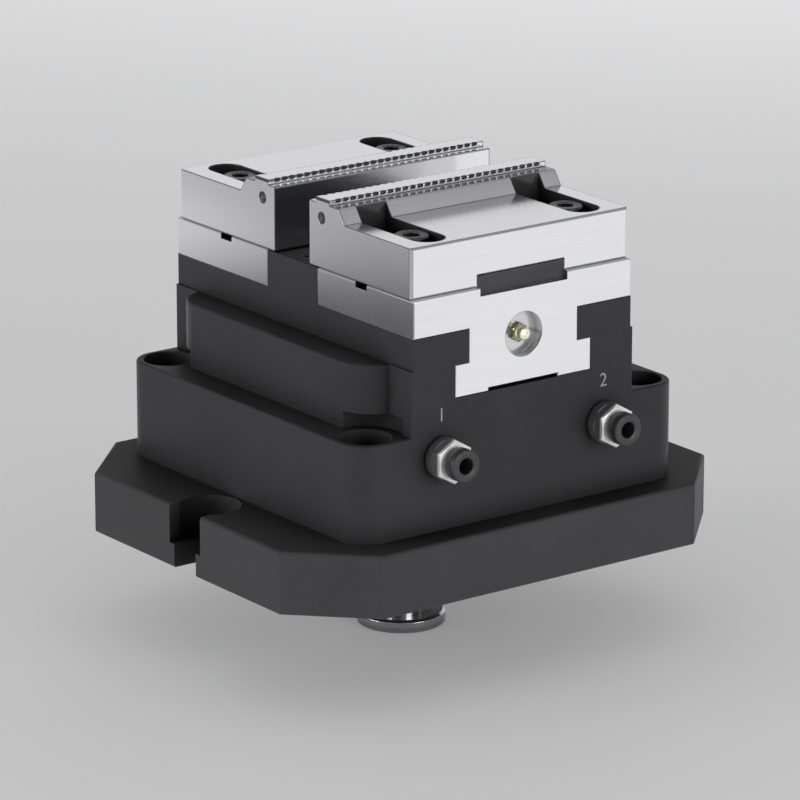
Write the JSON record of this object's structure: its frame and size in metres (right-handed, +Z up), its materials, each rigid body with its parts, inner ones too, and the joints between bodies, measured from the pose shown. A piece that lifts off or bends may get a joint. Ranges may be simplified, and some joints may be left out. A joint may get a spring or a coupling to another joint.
{
  "type": "pneumatic self-centering vise",
  "caption": "Square black vise on a flange plate with a pull stud; a piston and wedge hook below move its two polished stepped jaws together.",
  "frame": {"origin": "centre of the flange plate's underside, on the axis of the pull stud, where the stud's shoulder seats", "axes": "+X along the jaws' travel, towards the end with the two air fittings; +Y along the jaws; +Z up, away from the pull stud"},
  "size_m": [0.1771, 0.199, 0.1778],
  "materials": {
    "plate_black": "black anodised, satin",
    "body_black": "black hard anodised, satin",
    "inner_aluminium": "turned, hard anodised grey",
    "inner_steel": "ground and hardened",
    "jaw_steel": "ground and polished",
    "jaw_screw_steel": "black oxide, worn bright on the heads",
    "black_screw": "black oxide",
    "black_key": "black oxide, satin",
    "seal_rubber": "smooth",
    "band_plastic": "filled bearing plastic",
    "nickel": "nickel plated, bright",
    "nipple_brass": "yellow plated",
    "ring_plastic": "moulded, satin black",
    "stud_chrome": "hardened and polished"
  },
  "bodies": {
    "vise": {"base_plate": "plate_black", "vise_body": "body_black", "bottom_cover": "inner_aluminium", "cover_screws": "black_screw", "cover_seal": "seal_rubber", "rod_seal": "seal_rubber", "centre_cover": "body_black", "centre_cover_screws": "black_screw", "body_screws": "black_screw", "dowel_pins": "inner_steel", "passage_plug": "black_screw", "pull_stud": "stud_chrome", "port_washer_1": "seal_rubber", "port_washer_2": "seal_rubber", "fitting_body_1": "nickel", "fitting_body_2": "nickel", "tube_seal_1": "seal_rubber", "tube_seal_2": "seal_rubber"},
    "drive": {"piston": "inner_aluminium", "piston_seal": "seal_rubber", "guide_band": "band_plastic", "wedge_hook": "inner_steel", "wedge_screw": "black_screw"},
    "jaw_right": {"base_jaw_right": "jaw_steel", "top_jaw_right": "jaw_steel", "jaw_screws_right": "jaw_screw_steel", "cross_key_right": "black_key", "tenon_key_right": "black_key", "tenon_screw_right": "black_screw", "grease_nipple_right": "nipple_brass"},
    "jaw_left": {"base_jaw_left": "jaw_steel", "top_jaw_left": "jaw_steel", "jaw_screws_left": "jaw_screw_steel", "cross_key_left": "black_key", "tenon_key_left": "black_key", "tenon_screw_left": "black_screw", "grease_nipple_left": "nipple_brass"},
    "ring_1": {"release_ring_1": "ring_plastic"},
    "ring_2": {"release_ring_2": "ring_plastic"}
  },
  "joints": [
    {"name": "piston_lift", "type": "slide", "parent": "vise", "child": "drive", "axis": [0, 0, 1], "range_m": [0, 0.012]},
    {"name": "jaw_right_slide", "type": "slide", "parent": "vise", "child": "jaw_right", "axis": [1, 0, 0], "range_m": [0, 0.003]},
    {"name": "jaw_left_slide", "type": "slide", "parent": "vise", "child": "jaw_left", "axis": [-1, 0, 0], "range_m": [0, 0.003]},
    {"name": "release_ring_1_push", "type": "slide", "parent": "vise", "child": "ring_1", "axis": [-1, 0, 0], "range_m": [0, 0.0012], "stiffness_N_per_m": 600},
    {"name": "release_ring_2_push", "type": "slide", "parent": "vise", "child": "ring_2", "axis": [-1, 0, 0], "range_m": [0, 0.0012], "stiffness_N_per_m": 600}
  ],
  "couplings": [
    {"joint": "jaw_right_slide", "follows": "piston_lift", "ratio": 0.25},
    {"joint": "jaw_left_slide", "follows": "piston_lift", "ratio": 0.25}
  ]
}
